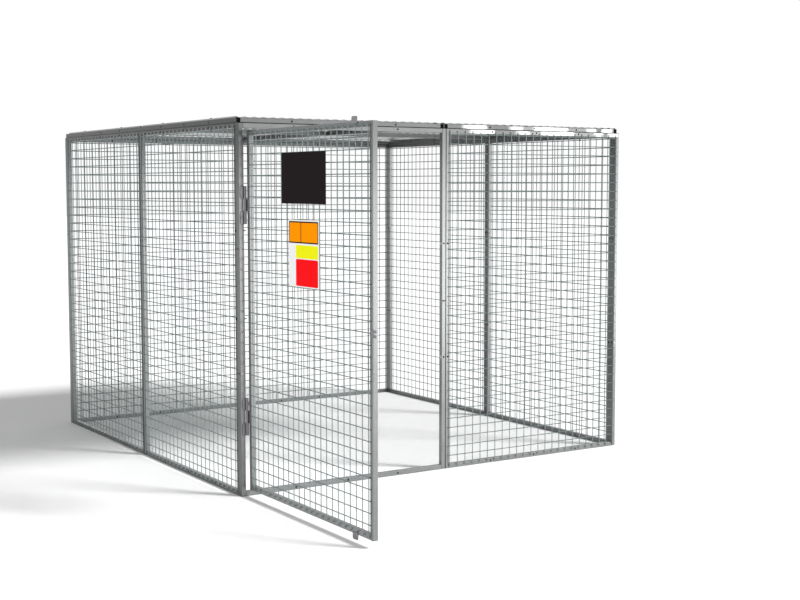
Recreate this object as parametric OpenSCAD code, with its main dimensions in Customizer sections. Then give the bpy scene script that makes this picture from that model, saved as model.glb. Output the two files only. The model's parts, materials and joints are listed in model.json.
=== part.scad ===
/* [Walls] */
// Width of one wall panel, post edge to post edge
bay_w = 1220; // [800:10:1500]
// Height of a wall panel
wall_h = 1830; // [1400:10:2200]
// Side of the square tube that every frame is made of
tube = 25; // [20:0.5:40]
// Wall of the square tube
tube_wall = 1.5; // [1:0.1:3]
// Radius of the tube's outer corners
tube_corner = 2.5; // [1:0.1:4]
// Holes drilled through posts and rails
hole_d = 8; // [6.5:0.1:10]

/* [Mesh] */
// Distance between the centres of neighbouring wires
mesh_pitch = 50.86; // [40:0.01:80]
// Thickness of a wire
wire_d = 4; // [2:0.1:5]
// Top of a wall panel down to its highest cross wire
row_drop = 30.6; // [28:0.1:50]
// Top of the door leaf down to its highest cross wire
door_row_drop = 15; // [12:0.1:24]

/* [Roof] */
// How far the roof frame stands in from the front and back walls
roof_inset = 20; // [5:1:24]
// Distance between neighbouring ribs of the roof sheets
rib_pitch = 50.8; // [35:0.1:80]
// Height of the ribs, thickness of the sheet included
rib_depth = 6; // [4:0.5:20]
// Flat along the top and the bottom of a rib
rib_flat = 12.7; // [6:0.1:16]
// Thickness of the roof sheet
sheet_t = 0.6; // [0.5:0.1:1.2]
// How far the sheets start behind the front of the roof frame
sheet_front = 10; // [0:1:40]
// Gap between the front and the back sheets
sheet_gap = 34; // [10:1:60]
// How far the sheets stop short of the back of the roof frame
sheet_back = 54; // [0:1:80]

/* [Door] */
// Gap between the hinge post and the leaf
hinge_side_gap = 12; // [10:0.5:20]
// Gap between the leaf and the lock post
lock_side_gap = 4; // [4:0.5:10]
// Gap under the leaf
bottom_gap = 10; // [5:1:20]
// Gap over the leaf
top_gap = 12; // [5:1:20]
// Clearance of the shut leaf from the face that its stop tabs meet
stop_gap = 0.5; // [0.3:0.1:2]
// Angle at which the door stands open
door_open = 90; // [0:5:180]

/* [Hinges] */
// Hinge axis in front of the face of the post
axis_front = 8; // [8:0.5:12]
// Hinge axis to the side of the post's edge
axis_side = 6; // [5:0.5:9]
// Diameter of the hinge barrel
barrel_d = 14; // [12:0.5:14]
// Diameter of the hinge pin
pin_d = 8; // [6:0.5:9]
// Radial clearance of the pin in its knuckles
pin_clearance = 0.05; // [0.02:0.01:0.1]
// Length of one knuckle
knuckle_l = 61; // [30:1:80]
// Gap between neighbouring knuckles
knuckle_gap = 0.5; // [0.3:0.1:1]
// Middle of a hinge from the nearer end of the post
hinge_inset = 397.5; // [200:0.5:500]
// Hinge axis to the free edge of a knuckle's tab on the post
post_leaf_w = 23; // [18:0.5:28]
// Hinge axis to the free edge of the middle knuckle's tab on the door
door_leaf_w = 27; // [18:0.5:29]
// Thickness of the hinge tabs
leaf_t = 3; // [2:0.1:4]
// Radius of the hinge tabs' free corners
leaf_corner = 5; // [1:0.5:8]

/* [Lock and stops] */
// Thickness of the lock fork and the stop tabs
plate_t = 3; // [2:0.1:4]
// Height of the lock's middle above the floor
lock_z = 913; // [700:1:1100]
// Height of the lock fork
fork_h = 33.5; // [25:0.5:50]
// How far the fork laps onto the leaf
fork_lap = 11; // [8:0.5:12]
// How far the fork reaches past the leaf
fork_reach = 31.5; // [26:0.5:34]
// Height of the slot in the fork
slot_h = 9; // [7:0.5:14]
// Thickness of the padlock lug
lug_t = 5; // [3:0.5:6]
// Width of the padlock lug
lug_w = 12; // [12:0.5:13]
// Length of the padlock lug from the post
lug_l = 22; // [20:0.5:30]
// Diameter of the padlock hole
shackle_d = 8; // [5:0.5:9]
// Clearance around the lug in the fork's slot
slot_gap = 3; // [2:0.5:4]
// Width of a stop tab
tab_w = 44; // [20:1:60]
// Middle of the stop tabs from the lock edge of the leaf
tab_inset = 142; // [60:1:300]
// How far a stop tab laps onto the leaf
tab_lap = 9; // [6:0.5:11]
// How far a stop tab reaches past the leaf
tab_reach = 23; // [21:0.5:30]
// Radius of a stop tab's free corners
tab_corner = 9; // [2:0.5:10]

/* [Sign plates] */
// Width of the upper plate
upper_plate_w = 408; // [200:1:600]
// Height of the upper plate
upper_plate_h = 231.5; // [100:0.5:300]
// Top of the leaf down to the upper plate
upper_plate_drop = 117; // [40:1:200]
// Middle of the upper plate past the middle of the leaf, towards the lock
upper_plate_shift = 1; // [-60:1:60]
// Width of the lower plate
lower_plate_w = 280; // [150:1:500]
// Height of the lower plate
lower_plate_h = 303; // [150:1:350]
// Gap between the two plates
plate_spacing = 72.5; // [10:0.5:150]
// Middle of the lower plate past the middle of the leaf, towards the lock
lower_plate_shift = 4; // [-60:1:60]
// Thickness of the sign plates
sign_t = 1.5; // [1:0.1:3]

/* [Fasteners] */
// Thread diameter of the coach bolts
bolt_d = 6; // [5:0.1:6.2]
// Diameter of a coach bolt's domed head
bolt_head_d = 16.5; // [14:0.1:20]
// Height of a coach bolt's domed head
bolt_head_h = 3.4; // [2:0.1:3.6]
// Diameter of a washer
washer_d = 12; // [11:0.1:16]
// Thickness of a washer
washer_t = 1.2; // [0.8:0.1:2]
// Width of a nut across its flats
nut_af = 10; // [9:0.1:13]
// Height of a nut
nut_h = 5; // [4:0.1:7]
// Length of bolt past its nut
bolt_past = 3; // [1:0.5:6]
// Thread diameter of the self-drilling screws
screw_d = 5.5; // [4:0.1:6]
// Width of a screw's head across its flats
screw_af = 8; // [7:0.1:10]
// Height of a screw's head
screw_head_h = 4; // [3:0.1:6]
// Flange under a screw's head
screw_flange_d = 10; // [9:0.1:14]
// Thickness of that flange
screw_flange_t = 1; // [0.6:0.1:1.5]
// Pointed end of a screw
screw_point = 9; // [5:0.5:12]
// How far a roof screw's point stands below the wall's top rail
roof_screw_past = 12; // [10:0.5:20]
// Length of the screws through the hinge post's neighbour
post_screw_l = 57; // [45:1:70]
// Height of the lower of the two post screws
post_screw_low = 876; // [700:1:1000]
// Height of the upper of the two post screws
post_screw_high = 1308; // [1200:1:1330]

/* [Hidden] */

// Gap that a weld bridges between a rail's end and its post
weld_gap = 0.02;
// Clearance between the two layers of wires
layer_gap = 0.02;
// Radial clearance of a nut, a washer or a drilled hole round its thread
thread_gap = 0.05;
// How far a cut runs past the metal that it cuts
cut = 1;
// Width of the tip of a screw's point
screw_tip_d = 0.7;
// Clearance of a plug in its tube, each side
plug_gap = 0.05;
// Length of a tube plug
plug_l = 12;
// How far a plug sits back from the tube's end
plug_back = 0.5;
// Clearance of the door's wires from the hinge tabs and the fork
wire_clear = 1;
// Facets of a round edge
round_fn = 32;

depth = 2 * bay_w + 2 * tube;
left = -bay_w;
front = -depth / 2;
mid_line = tube / 2;
hole_shares = [0.25, 0.5, 0.75];
screw_shares = [0.25, 0.75];
bolt_heights = [wall_h / 3, 2 * wall_h / 3];

// The door, measured in the front left bay from the bay's outer corner
axis_x = tube + axis_side;
axis_y = -axis_front;
leaf_x = tube + hinge_side_gap;
leaf_z = tube + bottom_gap;
leaf_w = bay_w - tube - lock_side_gap - leaf_x;
leaf_h = wall_h - tube - top_gap - leaf_z;
leaf_edge = leaf_x + leaf_w;
upper_plate_z = leaf_z + leaf_h - upper_plate_drop - upper_plate_h;
lower_plate_z = upper_plate_z - plate_spacing - lower_plate_h;
lug_x = bay_w - mid_line;

// The roof
roof_l = depth - 2 * roof_inset;
roof_z = wall_h;
sheet_z = roof_z + tube;
sheet_l = (roof_l - sheet_front - sheet_gap - sheet_back) / 2;
sheet_side = tube_corner;
ribs = round((bay_w - sheet_side) / rib_pitch);
rib_step = (bay_w - sheet_side) / ribs;

// A stretch of square with round corners
module soft_square(side, corner) {
    flat = side - 2 * corner;
    square([side, flat], center = true);
    square([flat, side], center = true);
    for (x = [-1, 1], y = [-1, 1])
        translate([x * flat / 2, y * flat / 2]) circle(corner, $fn = round_fn);
}

// Square tube along +Z
module square_tube(length) {
    linear_extrude(length) difference() {
        soft_square(tube, tube_corner);
        square(tube - 2 * tube_wall, center = true);
    }
}

// Square tube along +X, centred on y = z = tube / 2
module rail(length) {
    translate([0, mid_line, mid_line]) rotate([0, 90, 0]) square_tube(length);
}

// Square tube along +Z, centred on x = y = tube / 2
module post(length) {
    translate([mid_line, mid_line, 0]) square_tube(length);
}

// Two drillings that cross in the middle of a tube along X
module cross_drill_rail() {
    for (turn = [0, 90])
        rotate([turn, 0, 0]) cylinder(d = hole_d, h = 2 * tube, center = true, $fn = round_fn);
}

// Two drillings that cross in the middle of a tube along Z
module cross_drill_post() {
    for (turn = [0, 90])
        rotate([90, 0, turn]) cylinder(d = hole_d, h = 2 * tube, center = true, $fn = round_fn);
}

// Rail cut to fit between the two posts of a frame
module butted_rail(width) {
    translate([tube + weld_gap, 0, 0]) rail(width - 2 * tube - 2 * weld_gap);
}

// Welded frame on z = 0 along +X, its outer face on y = 0
module welded_frame(width, height) {
    for (x = [0, width - tube])
        translate([x, 0, 0]) post(height);
    for (z = [0, height - tube])
        translate([0, 0, z]) butted_rail(width);
}

// Wall frame with the holes that bolts and screws use
module wall_frame() {
    difference() {
        welded_frame(bay_w, wall_h);
        for (x = [mid_line, bay_w - mid_line], z = bolt_heights)
            translate([x, mid_line, z]) cross_drill_post();
        for (x = hole_shares * bay_w, z = [mid_line, wall_h - mid_line])
            translate([x, mid_line, z]) cross_drill_rail();
    }
}

// Straight six-sided wire along +Z, flats to the front and the back
module wire(length) {
    cylinder(d = wire_d / cos(30), h = length, $fn = 6);
}

// Sheet of crossed wires in front of y = 0, cross wires against the frame
module mesh_sheet(xs, zs, x_span, z_span) {
    for (z = zs)
        translate([x_span[0], -wire_d / 2, z]) rotate([0, 90, 0]) wire(x_span[1] - x_span[0]);
    for (x = xs)
        translate([x, -1.5 * wire_d - layer_gap, z_span[0]]) wire(z_span[1] - z_span[0]);
}

// Mesh of a wall panel, its wires lapped to the middle of the tubes
module wall_mesh() {
    steps = round((bay_w - 2 * tube) / mesh_pitch);
    first = (bay_w - steps * mesh_pitch) / 2;
    top = wall_h - row_drop;
    rows = floor((top - tube) / mesh_pitch);
    mesh_sheet(
        [for (i = [0:steps]) first + i * mesh_pitch],
        [for (k = [0:rows]) top - k * mesh_pitch],
        [mid_line, bay_w - mid_line],
        [mid_line, wall_h - mid_line]
    );
}

// Places of the wall panels: 0 is the left or front bay, 1 the right or back bay
module in_front(bay) { translate([left + bay * bay_w, front, 0]) children(); }
module in_back(bay) { translate([left + (bay + 1) * bay_w, -front, 0]) rotate(180) children(); }
module in_left(bay) { translate([left, front + tube + (bay + 1) * bay_w, 0]) rotate(-90) children(); }
module in_right(bay) { translate([-left, front + tube + bay * bay_w, 0]) rotate(90) children(); }

// Roof frame of one bay, its front left corner on the origin
module roof_frame() {
    difference() {
        union() {
            for (x = [0, bay_w - tube])
                translate([x + mid_line, 0, mid_line]) rotate([-90, 0, 0]) square_tube(roof_l);
            for (y = [0, (roof_l - tube) / 2, roof_l - tube])
                translate([0, y, 0]) butted_rail(bay_w);
        }
        for (x = [mid_line, bay_w - mid_line], bay = [0, 1], share = hole_shares)
            translate([x, tube - roof_inset + (bay + share) * bay_w, mid_line])
                rotate(90) cross_drill_rail();
        for (x = hole_shares * bay_w, y = [mid_line, roof_l - mid_line])
            translate([x, y, mid_line]) cross_drill_rail();
    }
}

module in_roof(bay) { translate([left + bay * bay_w, front + roof_inset, roof_z]) children(); }

// Plugs in the four ends of a roof frame's long tubes
module frame_plugs() {
    side = tube - 2 * tube_wall - 2 * plug_gap;
    for (x = [mid_line, bay_w - mid_line], y = [plug_back, roof_l - plug_back - plug_l])
        translate([x - side / 2, y, mid_line - side / 2]) cube([side, plug_l, side]);
}

// One face of the ribbed sheet, from the middle of one rib to the middle of the last
function rib_line(lift) = [
    for (k = [0:ribs - 1])
        each [
            [k * rib_step + rib_flat / 2, rib_depth - lift],
            [(k + 0.5) * rib_step - rib_flat / 2, sheet_t - lift],
            [(k + 0.5) * rib_step + rib_flat / 2, sheet_t - lift],
            [(k + 1) * rib_step - rib_flat / 2, rib_depth - lift]
        ]
];

// Section of a ribbed sheet, the side at x = 0 folded down to the tube
module sheet_section() {
    width = ribs * rib_step;
    lower = rib_line(sheet_t);
    polygon(concat(
        [[0, 0], [0, rib_depth]],
        rib_line(0),
        [[width, rib_depth], [width, rib_depth - sheet_t]],
        [for (i = [len(lower) - 1:-1:0]) lower[i]],
        [[sheet_t, rib_depth - sheet_t], [sheet_t, 0]]
    ));
}

// Ribbed sheet, its folded side outwards, with holes there for the roof screws
module roof_sheet(bay, row) {
    start = sheet_front + row * (sheet_l + sheet_gap);
    side = bay == 0 ? sheet_side : bay_w - sheet_side;
    outer = bay == 0 ? mid_line : bay_w - mid_line;
    in_roof(bay) difference() {
        translate([side, start + sheet_l, tube]) mirror([bay, 0, 0]) rotate([90, 0, 0])
            linear_extrude(sheet_l) sheet_section();
        for (share = screw_shares)
            translate([outer, tube - roof_inset + (row + share) * bay_w, tube - cut])
                cylinder(d = hole_d, h = rib_depth + 2 * cut, $fn = round_fn);
    }
}

// Turns what is modelled shut to where the door stands
module hung() {
    in_front(0) translate([axis_x, axis_y, 0]) rotate(-door_open)
        translate([-axis_x, -axis_y, 0]) children();
}

module on_leaf() { hung() translate([leaf_x, -stop_gap, leaf_z]) children(); }

module door_wires() {
    last = leaf_w - tube;
    steps = floor((leaf_w - 2 * tube) / mesh_pitch);
    top = leaf_h - door_row_drop;
    rows = floor((top - tube) / mesh_pitch);
    mesh_sheet(
        [for (i = [0:steps]) last - i * mesh_pitch],
        [for (k = [0:rows]) top - k * mesh_pitch],
        [axis_x + door_leaf_w + wire_clear - leaf_x, leaf_w - mid_line],
        [mid_line, leaf_h - mid_line]
    );
}

// Flat tab standing up from z = 0, its free corners rounded
module round_tab(width, height, corner, thickness) {
    rotate([90, 0, 0]) linear_extrude(thickness) {
        translate([-width / 2, 0]) square([width, height - corner]);
        translate([corner - width / 2, 0]) square([width - 2 * corner, height]);
        for (side = [-1, 1])
            translate([side * (width / 2 - corner), height - corner]) circle(corner, $fn = round_fn);
    }
}

// Knuckle with its tab, standing on z = 0, the hinge axis on the origin.
// The tab runs to side 1 or -1 and lies against the face at y = face.
module knuckle(side, face, reach, length) {
    mirror([side < 0 ? 1 : 0, 0, 0]) difference() {
        union() {
            cylinder(d = barrel_d, h = length, $fn = 2 * round_fn);
            translate([0, face, length / 2]) rotate([0, 90, 0])
                round_tab(length, reach, leaf_corner, leaf_t);
        }
        translate([0, 0, -cut])
            cylinder(r = pin_d / 2 + pin_clearance, h = length + 2 * cut, $fn = 2 * round_fn);
    }
}

hinge_low = hinge_inset;
hinge_high = wall_h - hinge_inset;

module post_knuckles(height) {
    for (z = [height - 1.5 * knuckle_l - knuckle_gap, height + 0.5 * knuckle_l + knuckle_gap])
        in_front(0) translate([axis_x, axis_y, z]) knuckle(-1, -axis_y, post_leaf_w, knuckle_l);
}

module door_knuckle(height) {
    hung() translate([axis_x, axis_y, height - knuckle_l / 2])
        knuckle(1, -axis_y - stop_gap, door_leaf_w, knuckle_l);
}

module hinge_pin(height) {
    length = 3 * knuckle_l + 2 * knuckle_gap;
    in_front(0) translate([axis_x, axis_y, height - length / 2])
        cylinder(d = pin_d, h = length, $fn = 2 * round_fn);
}

// Plate with an open slot that passes over the lug
module fork_plate() {
    slot_start = lug_x - lug_w / 2 - slot_gap;
    hung() translate([0, -stop_gap, lock_z]) rotate([90, 0, 0]) linear_extrude(plate_t)
        difference() {
            translate([leaf_edge - fork_lap, -fork_h / 2]) square([fork_lap + fork_reach, fork_h]);
            translate([slot_start + slot_h / 2, 0]) circle(d = slot_h, $fn = round_fn);
            translate([slot_start + slot_h / 2, -slot_h / 2]) square([fork_reach, slot_h]);
        }
}

module lug() {
    hole_out = lug_l - lug_w / 2;
    in_front(0) translate([lug_x, 0, lock_z - lug_t / 2]) linear_extrude(lug_t)
        difference() {
            union() {
                translate([-lug_w / 2, -hole_out]) square([lug_w, hole_out]);
                translate([0, -hole_out]) circle(d = lug_w, $fn = round_fn);
            }
            translate([0, -hole_out]) circle(d = shackle_d, $fn = round_fn);
        }
}

// Plate against the outer wires of the door, its middle past the middle of the leaf by shift
module sign_plate(shift, z, width, height) {
    x = leaf_x + (leaf_w - width) / 2 + shift;
    hung() translate([x, -stop_gap - 2 * wire_d - layer_gap - sign_t, z]) cube([width, sign_t, height]);
}

// Puts a bolt, modelled along +Z from the face under its head, at each place
// where two frames meet: corners, side joints, front and back joints, roof joint
module each_bolt() {
    for (z = bolt_heights) {
        for (side = [-1, 1], end = [-1, 1])
            translate([side * (bay_w - mid_line), end * front, z]) rotate([end * -90, 0, 0])
                children();
        for (side = [-1, 1])
            translate([side * (bay_w - mid_line), -tube, z]) rotate([-90, 0, 0]) children();
        for (end = [-1, 1])
            translate([-tube, end * (front + mid_line), z]) rotate([0, 90, 0]) children();
    }
    for (y = [-0.5, 0.5] * bay_w)
        translate([-tube, y, roof_z + mid_line]) rotate([0, 90, 0]) children();
}

module coach_bolt() {
    grip = 2 * tube;
    dome = (bolt_head_d * bolt_head_d / 4 + bolt_head_h * bolt_head_h) / (2 * bolt_head_h);
    cylinder(d = bolt_d, h = grip + washer_t + nut_h + bolt_past, $fn = round_fn);
    rotate_extrude($fn = round_fn) intersection() {
        translate([0, dome - bolt_head_h]) circle(dome, $fn = 4 * round_fn);
        translate([0, -bolt_head_h]) square([bolt_head_d, bolt_head_h]);
    }
}

module coach_washer() {
    translate([0, 0, 2 * tube]) linear_extrude(washer_t) difference() {
        circle(d = washer_d, $fn = round_fn);
        circle(d = bolt_d + 2 * thread_gap, $fn = round_fn);
    }
}

module coach_nut() {
    translate([0, 0, 2 * tube + washer_t]) linear_extrude(nut_h) difference() {
        circle(d = nut_af / cos(30), $fn = 6);
        circle(d = bolt_d + 2 * thread_gap, $fn = round_fn);
    }
}

// Hexagon-headed screw along +Z, the underside of its flange on z = 0
module drill_screw(length) {
    translate([0, 0, -screw_flange_t])
        cylinder(d = screw_flange_d, h = screw_flange_t, $fn = round_fn);
    translate([0, 0, -screw_head_h]) cylinder(d = screw_af / cos(30), h = screw_head_h, $fn = 6);
    cylinder(d = screw_d, h = length - screw_point, $fn = round_fn);
    translate([0, 0, length - screw_point])
        cylinder(d1 = screw_d, d2 = screw_tip_d, h = screw_point, $fn = round_fn);
}

module each_roof_screw() {
    for (side = [-1, 1], bay = [0, 1], share = screw_shares)
        translate([side * (bay_w - mid_line), front + tube + (bay + share) * bay_w,
            sheet_z + rib_depth]) rotate([180, 0, 0]) children();
}

// The first post of the left wall, beside the hinge post
module each_post_screw() {
    for (z = [post_screw_low, post_screw_high])
        translate([left, front + tube + mid_line, z]) rotate([0, 90, 0]) children();
}

module hinge_side_door_surround() { color("darkgray") in_front(0) wall_frame(); }
module front_right_frame() { color("darkgray") in_front(1) wall_frame(); }
module front_right_mesh() { color("silver") in_front(1) wall_mesh(); }
module left_front_frame() {
    color("gray") difference() {
        in_left(0) wall_frame();
        each_post_screw() translate([0, 0, -cut])
            cylinder(d = screw_d + 2 * thread_gap, h = tube + 2 * cut, $fn = round_fn);
    }
}
module left_front_mesh() { color("silver") in_left(0) wall_mesh(); }
module left_back_frame() { color("gray") in_left(1) wall_frame(); }
module left_back_mesh() { color("silver") in_left(1) wall_mesh(); }
module right_front_frame() { color("gray") in_right(0) wall_frame(); }
module right_front_mesh() { color("silver") in_right(0) wall_mesh(); }
module right_back_frame() { color("gray") in_right(1) wall_frame(); }
module right_back_mesh() { color("silver") in_right(1) wall_mesh(); }
module back_left_frame() { color("darkgray") in_back(0) wall_frame(); }
module back_left_mesh() { color("silver") in_back(0) wall_mesh(); }
module back_right_frame() { color("darkgray") in_back(1) wall_frame(); }
module back_right_mesh() { color("silver") in_back(1) wall_mesh(); }
module roof_left_frame() { color("darkgray") in_roof(0) roof_frame(); }
module roof_right_frame() { color("darkgray") in_roof(1) roof_frame(); }
module roof_tube_plugs() { color("black") for (bay = [0, 1]) in_roof(bay) frame_plugs(); }
module roof_sheet_left_front() { color("lightgray") roof_sheet(0, 0); }
module roof_sheet_left_back() { color("lightgray") roof_sheet(0, 1); }
module roof_sheet_right_front() { color("lightgray") roof_sheet(1, 0); }
module roof_sheet_right_back() { color("lightgray") roof_sheet(1, 1); }
module door_frame() { color("darkgray") on_leaf() welded_frame(leaf_w, leaf_h); }
module door_mesh() { color("silver") on_leaf() door_wires(); }
module top_stop_tab() {
    color("darkgray") on_leaf() translate([leaf_w - tab_inset, 0, leaf_h - tab_lap])
        round_tab(tab_w, tab_lap + tab_reach, tab_corner, plate_t);
}
module bottom_stop_tab() {
    color("darkgray") on_leaf() translate([leaf_w - tab_inset, 0, tab_lap]) mirror([0, 0, 1])
        round_tab(tab_w, tab_lap + tab_reach, tab_corner, plate_t);
}
module lock_fork() { color("darkgray") fork_plate(); }
module padlock_lug() { color("dimgray") lug(); }
module upper_sign_plate() {
    color("black") sign_plate(upper_plate_shift, upper_plate_z, upper_plate_w, upper_plate_h);
}
module lower_sign_plate() {
    color("white") sign_plate(lower_plate_shift, lower_plate_z, lower_plate_w, lower_plate_h);
}
module upper_hinge_post_knuckles() { color("gray") post_knuckles(hinge_high); }
module upper_hinge_door_knuckle() { color("gray") door_knuckle(hinge_high); }
module upper_hinge_pin() { color("dimgray") hinge_pin(hinge_high); }
module lower_hinge_post_knuckles() { color("gray") post_knuckles(hinge_low); }
module lower_hinge_door_knuckle() { color("gray") door_knuckle(hinge_low); }
module lower_hinge_pin() { color("dimgray") hinge_pin(hinge_low); }
module coach_bolts() { color("silver") each_bolt() coach_bolt(); }
module coach_bolt_washers() { color("silver") each_bolt() coach_washer(); }
module coach_bolt_nuts() { color("silver") each_bolt() coach_nut(); }
module roof_screws() {
    color("dimgray") each_roof_screw() drill_screw(rib_depth + 2 * tube + roof_screw_past);
}
module post_screws() { color("dimgray") each_post_screw() drill_screw(post_screw_l); }

hinge_side_door_surround();
front_right_frame();
front_right_mesh();
left_front_frame();
left_front_mesh();
left_back_frame();
left_back_mesh();
right_front_frame();
right_front_mesh();
right_back_frame();
right_back_mesh();
back_left_frame();
back_left_mesh();
back_right_frame();
back_right_mesh();
roof_left_frame();
roof_right_frame();
roof_tube_plugs();
roof_sheet_left_front();
roof_sheet_left_back();
roof_sheet_right_front();
roof_sheet_right_back();
door_frame();
door_mesh();
top_stop_tab();
bottom_stop_tab();
lock_fork();
padlock_lug();
upper_sign_plate();
lower_sign_plate();
upper_hinge_post_knuckles();
upper_hinge_door_knuckle();
upper_hinge_pin();
lower_hinge_post_knuckles();
lower_hinge_door_knuckle();
lower_hinge_pin();
coach_bolts();
coach_bolt_washers();
coach_bolt_nuts();
roof_screws();
post_screws();
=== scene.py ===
"""Finishes the gas cylinder cage: round welded wires, ribbed roof, weld beads, fasteners, zinc and paint."""
import json
import math

import bmesh
import bpy
import numpy as np
from mathutils import Matrix, Vector


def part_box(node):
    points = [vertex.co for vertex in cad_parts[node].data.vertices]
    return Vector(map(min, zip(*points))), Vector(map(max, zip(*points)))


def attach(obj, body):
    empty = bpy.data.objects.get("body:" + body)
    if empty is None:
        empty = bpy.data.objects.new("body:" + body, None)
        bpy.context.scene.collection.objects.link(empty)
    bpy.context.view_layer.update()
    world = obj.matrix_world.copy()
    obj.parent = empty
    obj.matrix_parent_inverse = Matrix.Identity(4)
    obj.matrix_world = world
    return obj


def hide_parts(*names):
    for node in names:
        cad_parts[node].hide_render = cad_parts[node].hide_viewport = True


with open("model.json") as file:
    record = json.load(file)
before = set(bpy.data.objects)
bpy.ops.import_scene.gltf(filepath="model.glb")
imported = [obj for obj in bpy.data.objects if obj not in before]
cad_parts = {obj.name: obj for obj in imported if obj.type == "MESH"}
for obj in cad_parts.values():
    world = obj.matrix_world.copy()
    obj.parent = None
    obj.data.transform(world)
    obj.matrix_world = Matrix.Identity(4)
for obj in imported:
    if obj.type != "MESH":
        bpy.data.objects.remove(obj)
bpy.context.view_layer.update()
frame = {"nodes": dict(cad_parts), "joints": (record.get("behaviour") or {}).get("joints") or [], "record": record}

bl_info = {
    "name": "Gas cylinder cage",
    "version": (1, 0, 0),
    "blender": (4, 5, 0),
    "location": "3D View > Sidebar > Cage",
    "description": "Dresses the packed cage with wires, welds, fasteners and finishes",
    "category": "Object",
}

MM = 0.001
BLACK = (0.0, 0.0, 0.0, 1.0)
# Near-black of the painted shade in crevices, inside tubes and along joints
CREVICE_SHADE = (0.004, 0.004, 0.004, 1.0)
# Pale colour of the painted highlights on the front right rails
PAINTED_HIGHLIGHT = (0.92, 0.92, 0.92, 1.0)

NODES = frame["nodes"]
BODY_OF = {node: body for body, nodes in frame["record"]["behaviour"]["bodies"].items() for node in nodes}
SLOT_OF = {part["node"]: part["material_slot"] for part in frame["record"]["subparts"]}
HINGE_AXIS = Vector(frame["joints"][0]["pos_m"])

MESH_NODES = sorted(node for node in NODES if node.endswith("_mesh"))
WALL_FRAMES = sorted(node for node in NODES if node.endswith("_frame") and not node.startswith("roof"))
WALL_FRAMES.append("hinge_side_door_surround")
ROOF_FRAMES = ["roof_left_frame", "roof_right_frame"]
ROOF_SHEETS = sorted(node for node in NODES if node.startswith("roof_sheet"))
WALL_LOW, WALL_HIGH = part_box("front_right_frame")
ROOF_LOW, ROOF_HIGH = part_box("roof_right_frame")
TUBE = ROOF_HIGH.z - ROOF_LOW.z
SHEET_THICKNESS = 0.6 * MM
RIB_PITCH = 50.8 * MM


# Shader values

class Value:
    """A shader socket on which arithmetic adds Math nodes."""

    def __init__(self, nodes, socket):
        self.nodes = nodes
        self.socket = socket

    def math(self, operation, first, second):
        return self.nodes.node("ShaderNodeMath", {"operation": operation}, {0: first, 1: second})

    def __add__(self, other):
        return self.math("ADD", self, other)

    def __sub__(self, other):
        return self.math("SUBTRACT", self, other)

    def __rsub__(self, other):
        return self.math("SUBTRACT", other, self)

    def __mul__(self, other):
        return self.math("MULTIPLY", self, other)

    __radd__ = __add__
    __rmul__ = __mul__


class Nodes:
    """A shader node tree, to which one method adds any node."""

    def __init__(self, tree):
        self.tree = tree

    def node(self, kind, settings=None, sockets=None, output=0):
        """Adds a node: settings first, a ramp's stops among them, then the values or links of its sockets."""
        made = self.tree.nodes.new(kind)
        for name, value in (settings or {}).items():
            if name == "stops":
                self.set_stops(made.color_ramp, value)
            else:
                setattr(made, name, value)
        for key, value in (sockets or {}).items():
            self.feed(made.inputs[key], value)
        return Value(self, made.outputs[output])

    def set_stops(self, ramp, stops):
        while len(ramp.elements) < len(stops):
            ramp.elements.new(1.0)
        for element, (position, colour) in zip(ramp.elements, stops):
            element.position = position
            element.color = (*colour, 1.0)

    def feed(self, socket, value):
        if isinstance(value, Value):
            self.tree.links.new(value.socket, socket)
        else:
            socket.default_value = value


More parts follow.
